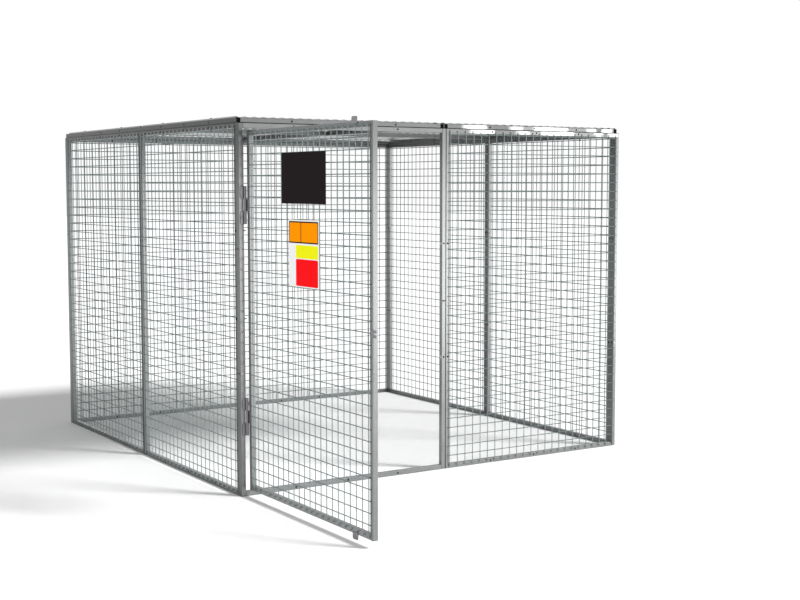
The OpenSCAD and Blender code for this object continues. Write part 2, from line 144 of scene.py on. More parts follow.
class Paint(Nodes):
    """The node tree of one material, and the few nodes that its finish is made of."""

    def __init__(self, name, metallic=0.0, specular=0.5):
        self.material = bpy.data.materials.new(name)
        self.material.use_nodes = True
        super().__init__(self.material.node_tree)
        self.shader = self.tree.nodes["Principled BSDF"].inputs
        self.shader["Metallic"].default_value = metallic
        self.shader["Specular IOR Level"].default_value = specular
        self.place = self.node("ShaderNodeTexCoord", output="Object")

    def stretched(self, scale):
        """The place on the object, scaled by a number or along each axis."""
        factors = scale if isinstance(scale, tuple) else (scale, scale, scale)
        return self.node("ShaderNodeVectorMath", {"operation": "MULTIPLY"}, {0: self.place, 1: factors})

    def noise(self, scale, detail=2.0, roughness=0.5):
        """Soft noise from 0 to 1, with about scale blots a metre."""
        return self.node("ShaderNodeTexNoise", None, {
            "Vector": self.stretched(scale), "Scale": 1.0, "Detail": detail, "Roughness": roughness})

    def cells(self, scale):
        """Cells of random colours, about scale of them a metre."""
        return self.node("ShaderNodeTexVoronoi", None, {"Vector": self.stretched(scale), "Scale": 1.0}, "Color")

    def along(self, axis):
        """Place on the object along X, Y or Z (0, 1 or 2), in metres."""
        return self.node("ShaderNodeSeparateXYZ", sockets={"Vector": self.place}, output=axis)

    def step(self, value, low, high):
        """0 up to low, 1 from high on."""
        return self.node("ShaderNodeMapRange", {"interpolation_type": "SMOOTHSTEP"},
                         {"Value": value, "From Min": low, "From Max": high})

    def size_of(self, value):
        """A value without its sign."""
        return value.math("ABSOLUTE", value, 0.0)

    def near(self, value, place, reach):
        """1 where a value is about place, 0 where it is reach or more from it."""
        return 1 - self.step(self.size_of(value - place), 0.35 * reach, reach)

    def openness(self, reach, shut, clear):
        """0 where less than the share shut of the sky within reach is free, 1 where more than clear is."""
        seen = self.node("ShaderNodeAmbientOcclusion", {"samples": 8}, {"Distance": reach}, output=1)
        return self.step(seen, shut, clear)

    def grey_of(self, colour):
        """The first channel of a grey or random colour."""
        return self.node("ShaderNodeSeparateColor", sockets={"Color": colour})

    def blend(self, factor, first, second):
        """A colour between two colours."""
        return self.node("ShaderNodeMix", {"data_type": "RGBA"}, {0: factor, 6: first, 7: second}, output=2)

    def ramp(self, factor, stops):
        return self.node("ShaderNodeValToRGB", {"stops": stops}, {"Fac": factor})

    def bumps(self, height, depth):
        """Small relief in the surface, depth in metres."""
        bump = self.node("ShaderNodeBump", sockets={"Strength": 1.0, "Distance": depth, "Height": height})
        self.feed(self.shader["Normal"], bump)

    def finish(self, colour, roughness):
        """Feeds the colour and the roughness in, and gives back the material."""
        self.feed(self.shader["Base Color"], colour)
        self.feed(self.shader["Roughness"], roughness)
        return self.material


def shade(colour, factor):
    """A colour made lighter or darker, as the four numbers that a colour socket takes."""
    return (*(min(1.0, channel * factor) for channel in colour[:3]), 1.0)


# Finishes

def galvanised(name, colour, flake, contrast, roughness, metallic, streaks=(5, 5, 5), hollow=0.0, joint=0.0,
               seam_shading=None, eave_shade=0.0, highlighted=False, rail=None):
    """Hot-dip zinc: fine crystals, slow clouds of lighter and darker grey, faint runs, and painted shade in crevices.

    hollow and joint are the reaches of the painted shadows inside tubes and along touching pieces. seam_shading
    paints shade into the joints between frames, with or without those between posts. eave_shade paints shade on
    the metal near the roof, most at the left, and on the faces to the left. highlighted metal gets painted highlights
    on smooth places over the front right panel, and wires take on the lighter colour rail where they cross the top
    rails, a painted sheen that matches the lit rails.
    """
    paint = Paint(name, metallic)
    crystal = paint.grey_of(paint.cells(1 / flake))
    cloud = paint.noise(9.0, detail=3.0)
    run = paint.noise(streaks, detail=4.0, roughness=0.6)
    grain = paint.noise(900.0, detail=1.0)
    tone = 0.18 * crystal + 0.42 * cloud + 0.40 * run
    tones = ((0.28, 1 - contrast), (0.52, 1.0), (0.74, 1 + contrast))
    zinc = paint.ramp(tone, [(place, shade(colour, factor)[:3]) for place, factor in tones])
    rough = roughness + 0.12 * (cloud - 0.5) + 0.06 * (crystal - 0.5)
    # Painted sheen: wires turn the lighter colour rail where they cross the top rails, matching the lit rails
    if rail:
        rail_foot = WALL_HIGH.z - TUBE
        over_rail = paint.step(paint.along(2), rail_foot - 3 * MM, rail_foot + MM)
        zinc = paint.blend(over_rail, zinc, shade(rail, 1.0))
    # Painted shade: darker towards the roof, most at the left, and on the faces to the left
    if eave_shade:
        zinc = paint.blend(eave_shade * eave_shade_share(paint), zinc, BLACK)
        zinc = paint.blend(left_face_shade(paint), zinc, BLACK)
    free = 1.0
    if hollow:
        free = paint.openness(hollow, shut=0.10, clear=0.45) * free
    if joint:
        free = paint.openness(joint, shut=0.30, clear=0.75) * free
    # Painted shade in the joints between frames, and between posts
    if seam_shading:
        free = free * (1 - 0.9 * seam_shade(paint, seam_shading == "posts"))
    # Painted shade: crevices, tube insides and joints darken towards near-black
    if isinstance(free, Value):
        zinc = paint.blend(free, CREVICE_SHADE, zinc)
    # Painted highlights on the rails over the front right panel, where the zinc is also smoother
    if highlighted:
        mirror = highlight_patches(paint)
        zinc = paint.blend(mirror * free, zinc, PAINTED_HIGHLIGHT)
        rough = rough * (1 - 0.7 * mirror)
    paint.bumps(0.3 * crystal + 0.2 * grain, 0.00001)
    return paint.finish(zinc, rough)


def eave_shade_share(paint):
    """How much painted shade the metal gets towards the roof: most on the left side and least at the right."""
    x, side = paint.along(0), WALL_HIGH.x
    share = 1 - 0.32 * paint.step(x, 10 * MM - side, 30 * MM - side)
    share = share - 0.68 * paint.step(x, side - 120 * MM, side - 40 * MM)
    return paint.step(paint.along(2), WALL_HIGH.z - 380 * MM, WALL_HIGH.z) * share


def left_face_shade(paint):
    """How much painted shade the posts' faces to the left get: outside at the left, and inside at the right."""
    x, side, reach = paint.along(0), WALL_HIGH.x, 3.0 * MM
    return 0.40 * paint.near(x, -side, reach) + 0.30 * paint.near(x, side - TUBE, reach)


def seam_shade(paint, posts):
    """1 where shade is painted into the joints between frames, 0 elsewhere: those under the roof, and those between
    posts.
    """
    front = -WALL_LOW.y if posts else -ROOF_LOW.y
    reach, edge = 4.0 * MM, 6.0 * MM
    x, y = paint.size_of(paint.along(0)), paint.size_of(paint.along(1))
    side_face = paint.step(x, WALL_HIGH.x - edge, WALL_HIGH.x - edge + MM)
    between_walls = 1 - paint.step(y, -WALL_HIGH.y, -WALL_HIGH.y + MM)
    front_face = paint.step(y, front - reach, front - reach + MM)
    made = paint.near(paint.along(2), WALL_HIGH.z, reach) * (side_face * between_walls + front_face)
    if posts:
        made = made + paint.near(x, 0.0, reach) + paint.near(y, 0.0, reach)
    return paint.step(made, 0.0, 1.0)


# Painted highlights on the front right rails: distance along X in metres, and how bright and smooth the zinc is there
HIGHLIGHT_PATCHES = ((0.110, 0.0), (0.170, 0.9), (0.265, 1.0), (0.290, 0.0), (0.425, 0.0), (0.470, 0.6), (0.510, 0.6),
           (0.540, 0.1), (0.600, 0.1), (0.625, 1.0), (0.830, 1.0), (0.860, 0.1), (0.985, 0.1), (1.010, 0.7),
           (1.052, 0.7), (1.072, 0.0), (1.098, 0.0), (1.118, 0.8), (1.170, 0.8), (1.190, 0.0))
# Keeps the stops of the patches' ramp between 0 and 1
PATCH_SCALE = 0.8


def highlight_patches(paint):
    """1 on the painted highlights of the two rails over the front right panel, 0 elsewhere."""
    height = paint.along(2)
    upper = paint.step(height, WALL_HIGH.z - MM, WALL_HIGH.z + MM)
    wobble = 0.03 * (paint.noise((8.0, 8.0, 25.0), detail=2.0) - 0.5)
    along_rail = paint.along(0) + wobble + 0.035 * (upper - 1)
    patches = paint.grey_of(paint.ramp(PATCH_SCALE * along_rail, [
        (PATCH_SCALE * metres, (level, level, level)) for metres, level in HIGHLIGHT_PATCHES]))
    flats = 0.0
    for foot in (WALL_HIGH.z - TUBE, ROOF_LOW.z):
        top = foot + TUBE
        flats = paint.step(height, foot + MM, foot + 5 * MM) - paint.step(height, top - 6 * MM, top - 2 * MM) + flats
    in_front = 1 - paint.step(paint.along(1), ROOF_LOW.y, ROOF_LOW.y + 2 * MM)
    return patches * flats * in_front * paint.step(along_rail, 0.03, 0.05)


def mottled(name, colour, blots, grain, tones, relief, rough, metallic=0.0, specular=0.5, hollow=0.0):
    """An even finish with darker and lighter blots over a fine relief.

    blots and grain are each the scale and the detail of a noise, tones the factors of the darkest and the lightest
    blot, rough the least roughness and what the two noises add to it, and hollow the reach of painted shade inside
    tubes.
    """
    paint = Paint(name, metallic, specular)
    blot, fine = paint.noise(*blots), paint.noise(*grain)
    paint.bumps(fine, relief)
    tinted = paint.blend(blot, shade(colour, tones[0]), shade(colour, tones[1]))
    # Painted shade inside the tubes
    if hollow:
        tinted = paint.blend(paint.openness(hollow, shut=0.10, clear=0.35), BLACK, tinted)
    return paint.finish(tinted, rough[0] + rough[1] * blot + rough[2] * fine)


def zinc_plated(name, colour, roughness):
    """Bright electroplated zinc of small fasteners, with duller patches and painted shade inside the tubes."""
    return mottled(name, colour, (240.0, 2.0), (1500.0, 2.0), (0.75, 1.15), 0.00004, (roughness - 0.1, 0.2, 0.0),
                   metallic=0.9, hollow=45 * MM)


def welded(name, colour):
    """Weld metal under zinc: rough, dark and uneven."""
    return mottled(name, colour, (700.0, 3.0), (700.0, 3.0), (0.6, 1.5), 0.0003, (0.45, 0.2, 0.0), metallic=0.6)


def bare(name, colour):
    """Steel with no zinc left, dull and dark."""
    return mottled(name, colour, (300.0, 2.0), (300.0, 2.0), (0.5, 1.5), 0.00005, (0.6, 0.2, 0.0),
                   metallic=0.3, specular=0.1)


def moulded(name, colour):
    """Black moulded plastic with a fine grain."""
    return mottled(name, colour, (30.0, 2.0), (1800.0, 2.0), (0.8, 1.3), 0.00008, (0.42, 0.0, 0.12), specular=0.03)


def printed(name, colour):
    """Printed rigid plastic sheet: even colour, faint haze and fine scuffs."""
    return mottled(name, colour, (14.0, 4.0), ((60.0, 600.0, 25.0), 2.0), (0.96, 1.04), 0.00002, (0.41, 0.1, 0.08),
                   specular=0.01)


def floor_paint(seen_colour, bounce_colour):
    """Studio floor: pale and matt where the camera or metal sees it, and duller in the light that it throws back."""
    paint = Paint("studio_floor", specular=0.0)
    speck = paint.noise(2.0)
    seen = paint.blend(speck, shade(seen_colour, 0.99), shade(seen_colour, 1.0))
    return paint.finish(paint.blend(seen_rays(paint), shade(bounce_colour, 1.0), seen), 0.9)


def seen_rays(nodes):
    """1 for rays from the camera, from a mirror or through glass, 0 for light that bounces about."""
    total = nodes.node("ShaderNodeLightPath", output="Is Camera Ray")
    path = total.socket.node
    for name in ("Is Glossy Ray", "Is Transmission Ray"):
        total = total.math("MAXIMUM", total, Value(nodes, path.outputs[name]))
    return total


def wear(node, material):
    """Gives a CAD node its finish."""
    mesh = NODES[node].data
    mesh.materials.clear()
    mesh.materials.append(material)


# Mesh building

def added_object(name, data):
    """A new object of the scene."""
    made = bpy.data.objects.new(name, data)
    bpy.context.scene.collection.objects.link(made)
    return made


class Surface:
    """Corners and faces of one new piece. Its solids are skinned from rings of points."""

    def __init__(self):
        self.points = []
        self.faces = []
        self.kinds = []

    def add_face(self, corners, kind):
        self.faces.append(tuple(corners))
        self.kinds.append(kind)

    def loft(self, rings, kind=0, loop=False):
        """Skins rings of equally many points. The ends are closed, or meet each other in a loop."""
        count = len(rings[0])
        start = len(self.points)
        for ring in rings:
            self.points.extend(ring)
        last = len(rings) if loop else len(rings) - 1
        for r in range(last):
            low = start + r * count
            high = start + (r + 1) % len(rings) * count
            for i in range(count):
                j = (i + 1) % count
                self.add_face((low + i, low + j, high + j, high + i), kind)
        if not loop:
            self.add_face(range(start + count - 1, start - 1, -1), kind)
            top = start + (len(rings) - 1) * count
            self.add_face(range(top, top + count), kind)

    def turned(self, at, profile, sides, kind=0, loop=False):
        """Turns a profile of (radius, height) about the local Z axis of the matrix at."""
        self.loft([ring(at, radius, height, sides) for radius, height in profile], kind, loop)

    def make(self, name, node, materials, sharp=40.0, added=False):
        """Makes the piece that stands in for a CAD node, or one that is added to it."""
        mesh = bpy.data.meshes.new(name)
        mesh.from_pydata(self.points, [], self.faces)
        for material in materials:
            mesh.materials.append(material)
        mesh.polygons.foreach_set("material_index", self.kinds)
        mesh.polygons.foreach_set("use_smooth", [True] * len(self.faces))
        shaped = bmesh.new()
        shaped.from_mesh(mesh)
        bmesh.ops.recalc_face_normals(shaped, faces=shaped.faces)
        shaped.to_mesh(mesh)
        shaped.free()
        mesh.set_sharp_from_angle(angle=math.radians(sharp))
        piece = added_object(name, mesh)
        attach(piece, BODY_OF[node])
        if not added:
            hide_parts(node)


def round_about(sides):
    """Cosine and sine of even angles once round, each with its angle."""
    turns = [2 * math.pi * i / sides for i in range(sides)]
    return [(math.cos(turn), math.sin(turn), turn) for turn in turns]


def ring(at, radius, height, sides, share=None):
    """Points round the local Z axis. share(angle) scales the radius."""
    points = []
    for cosine, sine, turn in round_about(sides):
        reach = radius * (share(turn) if share else 1.0)
        points.append(at @ Vector((reach * cosine, reach * sine, height)))
    return points


def facing(origin, direction):
    """Matrix with its origin at a point and its Z axis along a direction."""
    return Matrix.Translation(origin) @ direction.to_track_quat("Z", "Y").to_matrix().to_4x4()


def loose_parts(node):
    """The separate solids of a CAD node, each as an array of its corners."""
    mesh = NODES[node].data
    corners = np.array([vertex.co for vertex in mesh.vertices])
    places = {}
    index = [places.setdefault(tuple(np.round(corner, 6)), len(places)) for corner in corners]
    parent = list(range(len(places)))

    def root(i):
        while parent[i] != i:
            parent[i] = parent[parent[i]]
            i = parent[i]
        return i

    for polygon in mesh.polygons:
        first = root(index[polygon.vertices[0]])
        for vertex in polygon.vertices[1:]:
            parent[root(index[vertex])] = first
    groups = {}
    for i, corner in zip(index, corners):
        groups.setdefault(root(i), []).append(corner)
    return [np.array(group) for group in groups.values()]


def box_of(part):
    """The lowest and the highest corner of a solid's box."""
    return Vector(part.min(0)), Vector(part.max(0))


def longest_axis(low, high):
    """The axis along which a box is longest."""
    return max(range(3), key=lambda axis: (high - low)[axis])


def point(places):
    """The point at given places along X, Y and Z (0, 1 and 2), and at 0 along the others."""
    return Vector([places.get(axis, 0.0) for axis in range(3)])


def unit(axis, sign=1.0):
    """Unit vector along an axis, or against it."""
    return point({axis: sign})


# Wires

UPRIGHT, CROSS, SPOT = 0, 1, 2


def add_wire(surface, low, high, kind):
    """A straight round wire with slightly rounded ends, which fills its box."""
    along = longest_axis(low, high)
    first, second = (axis for axis in range(3) if axis != along)
    middle, reach = (low + high) / 2, (high - low) / 2
    soft, blunt = 0.3 * reach[first], 0.7
    ends = ((low[along], blunt), (low[along] + soft, 1.0), (high[along] - soft, 1.0), (high[along], blunt))
    rings = [[point({along: place, first: middle[first] + share * reach[first] * cosine,
                     second: middle[second] + share * reach[second] * sine}) for cosine, sine, _ in round_about(12)]
             for place, share in ends]
    surface.loft(rings, kind)


def add_nub(surface, centre, normal, radius, height, kind=0, sides=6):
    """A small squashed bead of metal, as a spot weld leaves."""
    at = facing(centre, normal)
    levels = [(0.45, -0.9), (0.95, -0.35), (0.95, 0.35), (0.45, 0.9)]
    surface.turned(at, [(radius * share, height * level) for share, level in levels], sides, kind)


def weave(node, settings, paints):
    """Round wires in place of a mesh sheet, welded where they cross and where they end."""
    uprights, rows = [], []
    surface = Surface()
    for low, high in map(box_of, loose_parts(node)):
        along = longest_axis(low, high)
        start, end = (low + high) / 2, (low + high) / 2
        start[along], end[along] = low[along], high[along]
        add_wire(surface, low, high, UPRIGHT if along == 2 else CROSS)
        (uprights if along == 2 else rows).append((start, end, min(high - low) / 2))
    # The uprights lie on the cross wires, on the side away from the frame
    row_start, row_end, _ = rows[0]
    thin = 1 - longest_axis(row_start, row_end)
    normal = unit(thin, math.copysign(1.0, uprights[0][0][thin] - row_start[thin]))
    for start, end, radius in uprights:
        for row_start, row_end, _ in rows:
            crossing = Vector((start.x, start.y, row_start.z)) - normal * radius
            add_nub(surface, crossing, normal, radius * settings.crossing_width, radius * 0.8, CROSS)
    for wires, lift, kind in ((uprights, 1.5, UPRIGHT), (rows, 0.5, SPOT)):
        for start, end, radius in wires:
            inwards = (end - start).normalized() * settings.end_weld * 0.6
            for place in (start + inwards, end - inwards):
                foot = place - normal * 2 * radius * lift
                add_nub(surface, foot, normal, settings.end_weld, 2 * radius * lift, kind, sides=8)
    surface.make(node + "_wires", node, paints)


# Weld beads

def add_bead(surface, start, end, normal, width, height):
    """A weld run from start to end: a low ridge with the ripples that the arc leaves."""
    length = (end - start).length
    along = (end - start).normalized()
    side = along.cross(normal).normalized()
    pitch, ripple_height, end_size = 2.0 * MM, 0.14, 0.12
    steps = max(6, round(4 * length / pitch))
    rings = []
    for k in range(steps + 1):
        share = k / steps
        ripple = 1.0 + ripple_height * math.sin(2 * math.pi * share * length / pitch)
        taper = math.sqrt(max(end_size, 1 - (2 * share - 1) ** 8))
        centre = start + along * (share * length)
        rings.append([centre + taper * ripple * (side * (cosine * width / 2) + normal * (sine * height))
                      for cosine, sine, _ in round_about(8)])
    surface.loft(rings)


def frame_welds(node, settings, surface):
    """The welds between the rails and the posts of one frame."""
    low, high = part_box(node)
    flat = node in ROOF_FRAMES
    thin = 2 if flat else min((0, 1), key=lambda axis: (high - low)[axis])
    along = 1 if flat else 2
    across = 3 - thin - along
    half = TUBE / 2
    width, height = settings.bead_width, settings.bead_height
    rails = [low[along] + half, high[along] - half]
    if flat:
        rails.append((low[along] + high[along]) / 2)
    end_gap, overlap = 2.5 * MM, 0.6 * MM
    for rail in rails:
        for joint, inwards in ((low[across] + TUBE, 1.0), (high[across] - TUBE, -1.0)):
            if not flat:
                for face, sign in ((low[thin], -1.0), (high[thin], 1.0)):
                    start, end = (
                        point({across: joint - inwards * overlap, thin: face, along: rail + turn * (half - end_gap)})
                        for turn in (-1, 1))
                    add_bead(surface, start, end, unit(thin, sign), width, height)
            for side in (-1.0, 1.0):
                edge = rail + side * half
                if not low[along] + TUBE / 4 < edge < high[along] - TUBE / 4:
                    continue
                start, end = (point({across: joint, along: edge, thin: place})
                              for place in (low[thin] + end_gap, high[thin] - end_gap))
                normal = (unit(across, inwards) + unit(along, side)).normalized()
                add_bead(surface, start, end, normal, width * 1.3, height * 1.6)


def paint_hole_rim_shade(settings, surface):
    """Bare rims round the holes in the rails, the posts and the roof frames, near-black as painted shade of the holes.
    """
    bay, half = WALL_HIGH.x - WALL_LOW.x, TUBE / 2
    shares = (0.25, 0.5, 0.75)
    heights = [(WALL_HIGH.z - WALL_LOW.z) * share for share in (1 / 3, 2 / 3)]
    crossings = []
    for node in WALL_FRAMES + ROOF_FRAMES:
        if node == "door_frame":
            continue
        low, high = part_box(node)
        first, last = low + Vector([half] * 3), high - Vector([half] * 3)
        if node in ROOF_FRAMES:
            crossings += [(0, Vector((low.x + share * bay, y, first.z))) for share in shares for y in (first.y, last.y)]
            crossings += [(1, Vector((x, WALL_LOW.y + TUBE + (row + share) * bay, first.z)))
                          for share in shares for row in (0, 1) for x in (first.x, last.x)]
            continue
        along = 0 if high.x - low.x > high.y - low.y else 1
        holes = [(along, low[along] + share * bay, z) for z in (first.z, last.z) for share in shares]
        holes += [(2, end, z) for end in (first[along], last[along]) for z in heights]
        crossings += [(tube, point({along: place, 1 - along: first[1 - along], 2: z})) for tube, place, z in holes]
    inner, outer, thick = settings.hole / 2, settings.hole / 2 + settings.hole_rim, 0.12 * MM
    rim = [(inner, 0.0), (inner, thick), (outer, thick), (outer, 0.0)]
    for along, place in crossings:
        for axis, sign in [(axis, sign) for axis in range(3) if axis != along for sign in (-1.0, 1.0)]:
            face = place + unit(axis, sign * half)
            if face.z > thick:
                surface.turned(facing(face, unit(axis, sign)), rim, 16, loop=True)


# Roof

def roof_sheet(node, material):
    """One corrugated sheet: the CAD sheet's ribs as an even wave, its outer side folded down to the tube."""
    low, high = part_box(node)
    outer, inner = (low.x, high.x) if low.x + high.x < 0 else (high.x, low.x)
    inwards = math.copysign(1.0, inner - outer)
    rise = high.z - low.z - SHEET_THICKNESS
    waves = round((high.x - low.x) / RIB_PITCH)
    steps, slices = 12 * waves, 9
    line = [(outer + (inner - outer) * k / steps,
             low.z + rise * (0.5 + 0.5 * math.cos(2 * math.pi * waves * k / steps))) for k in range(steps + 1)]
    top = [(outer, low.z)] + [(x, z + SHEET_THICKNESS) for x, z in line]
    bottom = [(x + inwards * SHEET_THICKNESS, z) for x, z in ((outer, low.z), line[0])] + line[1:]
    section = top + bottom[::-1]
    surface = Surface()
    surface.loft([[Vector((x, y, z)) for x, z in section] for y in np.linspace(low.y, high.y, slices)])
    # The end caps of a corrugated strip are long folded outlines, so each is cut into short quads
    count = len(section)
    del surface.faces[-2:]
    del surface.kinds[-2:]
    for base in (0, (slices - 1) * count):
        for k in range(len(top) - 1):
            surface.add_face((base + k, base + k + 1, base + count - 2 - k, base + count - 1 - k), 0)
    surface.make(node + "_wave", node, [material], sharp=60.0)


# Fasteners

def fastener_axis(part):
    """Matrix at the underside of a fastener's head with Z along its shank, the shank's length, the head's radius."""
    low, high = box_of(part)
    along = longest_axis(low, high)
    middle = (low + high) / 2
    reach = np.linalg.norm(np.delete(part - np.array(middle), along, axis=1), axis=1)
    near_rim = 0.98 * reach.max()
    rim = part[reach > near_rim][:, along]
    head_low = rim.mean() < middle[along]
    under = rim.max() if head_low else rim.min()
    tip = high[along] if head_low else low[along]
    middle[along] = under
    return facing(middle, unit(along, math.copysign(1.0, tip - under))), abs(tip - under), reach.max()


def thread(surface, at, start, end, core, crest, pitch):
    """A screw thread between two heights, tapered in at its end."""
    steps = max(2, round(4 * (end - start) / pitch))
    rings = []
    for k in range(steps + 1):
        height = start + (end - start) * k / steps
        fade = min(1.0, (end - height) / pitch)

        def reach(angle, height=height, fade=fade):
            turn = (height / pitch - angle / (2 * math.pi)) % 1.0
            ridge = 1.0 - abs(2 * turn - 1)
            return (core + (crest - core) * ridge * fade) / crest

        rings.append(ring(at, crest, height, 16, reach))
    surface.loft(rings)


def hexagon(surface, at, flats, start, end, bore=None):
    """A hexagon from start to end with both rims chamfered, bored through if bore is given."""
    def outline(limit):
        def share(angle):
            folded = (angle + math.pi / 6) % (math.pi / 3) - math.pi / 6
            return min(1.0 / math.cos(folded), limit)
        return share

    soft = 0.12 * flats
    step = math.copysign(soft / 2, end - start)
    levels = [(start, 0.98), (start + step, 1.2), (end - step, 1.2), (end, 0.98)]
    rings = [ring(at, flats / 2, height, 36, outline(limit)) for height, limit in levels]
    if bore:
        rings += [ring(at, bore / 2, end, 36), ring(at, bore / 2, start, 36)]
    surface.loft(rings, loop=bool(bore))


def coach_bolt(surface, part):
    """Domed head, round neck and threaded end."""
    at, length, head = fastener_axis(part)
    low, high = box_of(part)
    dome = max(high - low) - length
    core, crest, pitch, threaded = 2.45 * MM, 3.0 * MM, 1.0 * MM, 14 * MM
    neck, neck_end, shank = 3.9 * MM, 2.4 * MM, 2.95 * MM
    profile = [(head * math.cos(a), -dome * math.sin(a)) for a in np.radians([84, 70, 55, 40, 25, 12, 0])]
    profile += [(head, 0.3 * MM), (neck, 0.35 * MM), (neck, neck_end), (shank, neck_end + 0.2 * MM),
                (shank, length - threaded)]
    surface.turned(at, profile, 28)
    thread(surface, at, length - threaded - 0.2 * MM, length, core, crest, pitch)


def flat_part(part):
    """Matrix in the middle of a washer or a nut with Z along its bore, its thickness and its widths."""
    low, high = box_of(part)
    size = high - low
    along = min(range(3), key=lambda axis: size[axis])
    widths = [size[axis] for axis in range(3) if axis != along]
    return facing((low + high) / 2, unit(along)), size[along], widths


def coach_washer(surface, part):
    """Flat washer with softened edges."""
    at, thick, widths = flat_part(part)
    radius, half, edge, bore = max(widths) / 2, thick / 2, 0.15 * MM, 3.1 * MM
    surface.turned(at, [(radius - edge, -half), (radius, edge - half), (radius, half - edge), (radius - edge, half),
                        (bore, half), (bore, -half)], 32, loop=True)


def coach_nut(surface, part):
    """Chamfered hexagon nut."""
    at, thick, widths = flat_part(part)
    hexagon(surface, at, min(widths), -thick / 2, thick / 2, bore=5.9 * MM)


def drill_screw(surface, part):
    """Self-drilling screw: hexagon head on a flange, coarse thread and a fluted drill point."""
    flats, head_height, flange = 8.0 * MM, 4.0 * MM, 1.0 * MM
    core, crest, pitch = 2.1 * MM, 2.75 * MM, 1.8 * MM
    tip, steps = 2.0 * MM, 12
    at, length, rim = fastener_axis(part)
    shank = length - 9.0 * MM
    surface.turned(at, [(rim * 0.8, 0.0), (rim, 0.0), (rim, -0.35 * flange), (rim * 0.86, -flange)], 32)
    hexagon(surface, at, flats, -0.6 * flange, -head_height)
    thread(surface, at, -0.2 * flange, shank, core, crest, pitch)
    shank -= 0.3 * MM
    rings = []
    for k in range(steps + 1):
        height = shank + (length - shank) * k / steps
        reach = core * min(1.0, max(0.12, (length - height) / tip))
        twist = 0.5 * math.pi * k / steps
        rings.append(ring(at, reach, height, 16, lambda angle, twist=twist: 0.8 + 0.2 * abs(math.cos(angle - twist))))
    surface.loft(rings)


def remake(node, build, material, sharp=40.0):
    """Makes every solid of a node again in full detail, each by build(surface, part)."""
    surface = Surface()
    for part in loose_parts(node):
        build(surface, part)
    surface.make(node + "_detail", node, [material], sharp)


# Hinges, lock and stops

def hinge_welds(settings, material):
    """Welds round the three open edges of the hinge tabs, on the post and on the door."""
    width, height = settings.bead_width, settings.bead_height * 1.5
    corner, inset = 5 * MM, 0.4 * MM
    for side, base, axis in (("post_knuckles", "hinge_side_door_surround", 1), ("door_knuckle", "door_frame", 0)):
        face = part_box(base)[0][axis]
        surface = Surface()
        for part in loose_parts("upper_hinge_" + side) + loose_parts("lower_hinge_" + side):
            low, high = box_of(part)
            runs = [((-inset, low.z + corner), (-inset, high.z - corner))]
            runs += [((corner, z), (settings.tab_run, z)) for z in (low.z - inset, high.z + inset)]
            for run in runs:
                start, end = (point({1 - axis: low[1 - axis] + reach, axis: face, 2: z}) for reach, z in run)
                add_bead(surface, start, end, unit(axis, -1.0), width, height)
        surface.make("hinge_" + side + "_welds", "upper_hinge_" + side, [material], added=True)


def plate_welds(settings, material):
    """Welds of the stop tabs and the lock fork on the door, and of the lug on its post."""
    surface = Surface()
    door_low, door_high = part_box("door_frame")
    width, height = settings.bead_width, settings.bead_height * 1.4
    gap, inset, edge = 0.3 * MM, 3 * MM, 2 * MM

    def bead(first, second):
        """Welds the door's face from one place (y, z) to another."""
        add_bead(surface, Vector((door_low.x, *first)), Vector((door_low.x, *second)), -unit(0), width, height)

    for node, z, far in (("top_stop_tab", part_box("top_stop_tab")[0].z - gap, door_high.z - edge),
                         ("bottom_stop_tab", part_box("bottom_stop_tab")[1].z + gap, door_low.z + edge)):
        low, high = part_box(node)
        bead((low.y + inset, z), (high.y - inset, z))
        for y in (low.y, high.y):
            bead(*sorted([(y, z), (y, far)]))
    low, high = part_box("lock_fork")
    bead((high.y, low.z + edge), (high.y, high.z - edge))
    for z in (low.z, high.z):
        bead((door_low.y + edge, z), (high.y, z))
    surface.make("door_plate_welds", "lock_fork", [material], added=True)
    surface = Surface()
    low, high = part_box("padlock_lug")
    for z, side in ((low.z, -1.0), (high.z, 1.0)):
        normal = (unit(2, side) - unit(1)).normalized()
        add_bead(surface, Vector((low.x, high.y, z)), Vector((high.x, high.y, z)), normal, width * 1.2, height)
    surface.make("padlock_lug_welds", "padlock_lug", [material], added=True)


# Sign plates

def rounded_field(surface, plane, s_range, z_range, thickness, corner, kind):
    """A thin printed field on the door's plates, its sides measured from the hinge axis and the floor."""
    outline = []
    near_s, far_s = s_range[0] + corner, s_range[1] - corner
    low_z, high_z = z_range[0] + corner, z_range[1] - corner
    for s, z, start in ((far_s, high_z, 0), (near_s, high_z, 90), (near_s, low_z, 180), (far_s, low_z, 270)):
        for turn in np.linspace(start, start + 90, 5):
            angle = math.radians(turn)
            outline.append((s + corner * math.cos(angle), z + corner * math.sin(angle)))
    rings = [[Vector((x, HINGE_AXIS.y - s, z)) for s, z in outline] for x in (plane, plane - thickness)]
    surface.loft(rings, kind)


def sign_fields(materials):
    """The plain colour fields of the lower plate: material, two spans in mm, corner, and layers of print."""
    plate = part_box("lower_sign_plate")[0].x
    surface = Surface()
    layer_thickness = 0.12 * MM
    fields = [
        (0, (450, 720), (1267, 1366), 4, 1),
        (1, (456, 559), (1273, 1360), 2, 2),
        (1, (565, 714), (1273, 1360), 2, 2),
        (2, (514, 718), (1200, 1259), 5, 1),
        (3, (514, 717), (1074, 1196), 8, 1),
    ]
    for kind, s_range, z_range, corner, layers in fields:
        rounded_field(surface, plate, [s * MM for s in s_range], [z * MM for z in z_range],
                      layers * layer_thickness, corner * MM, kind)
    surface.make("lower_sign_colour_fields", "lower_sign_plate", materials, added=True)


# Stage

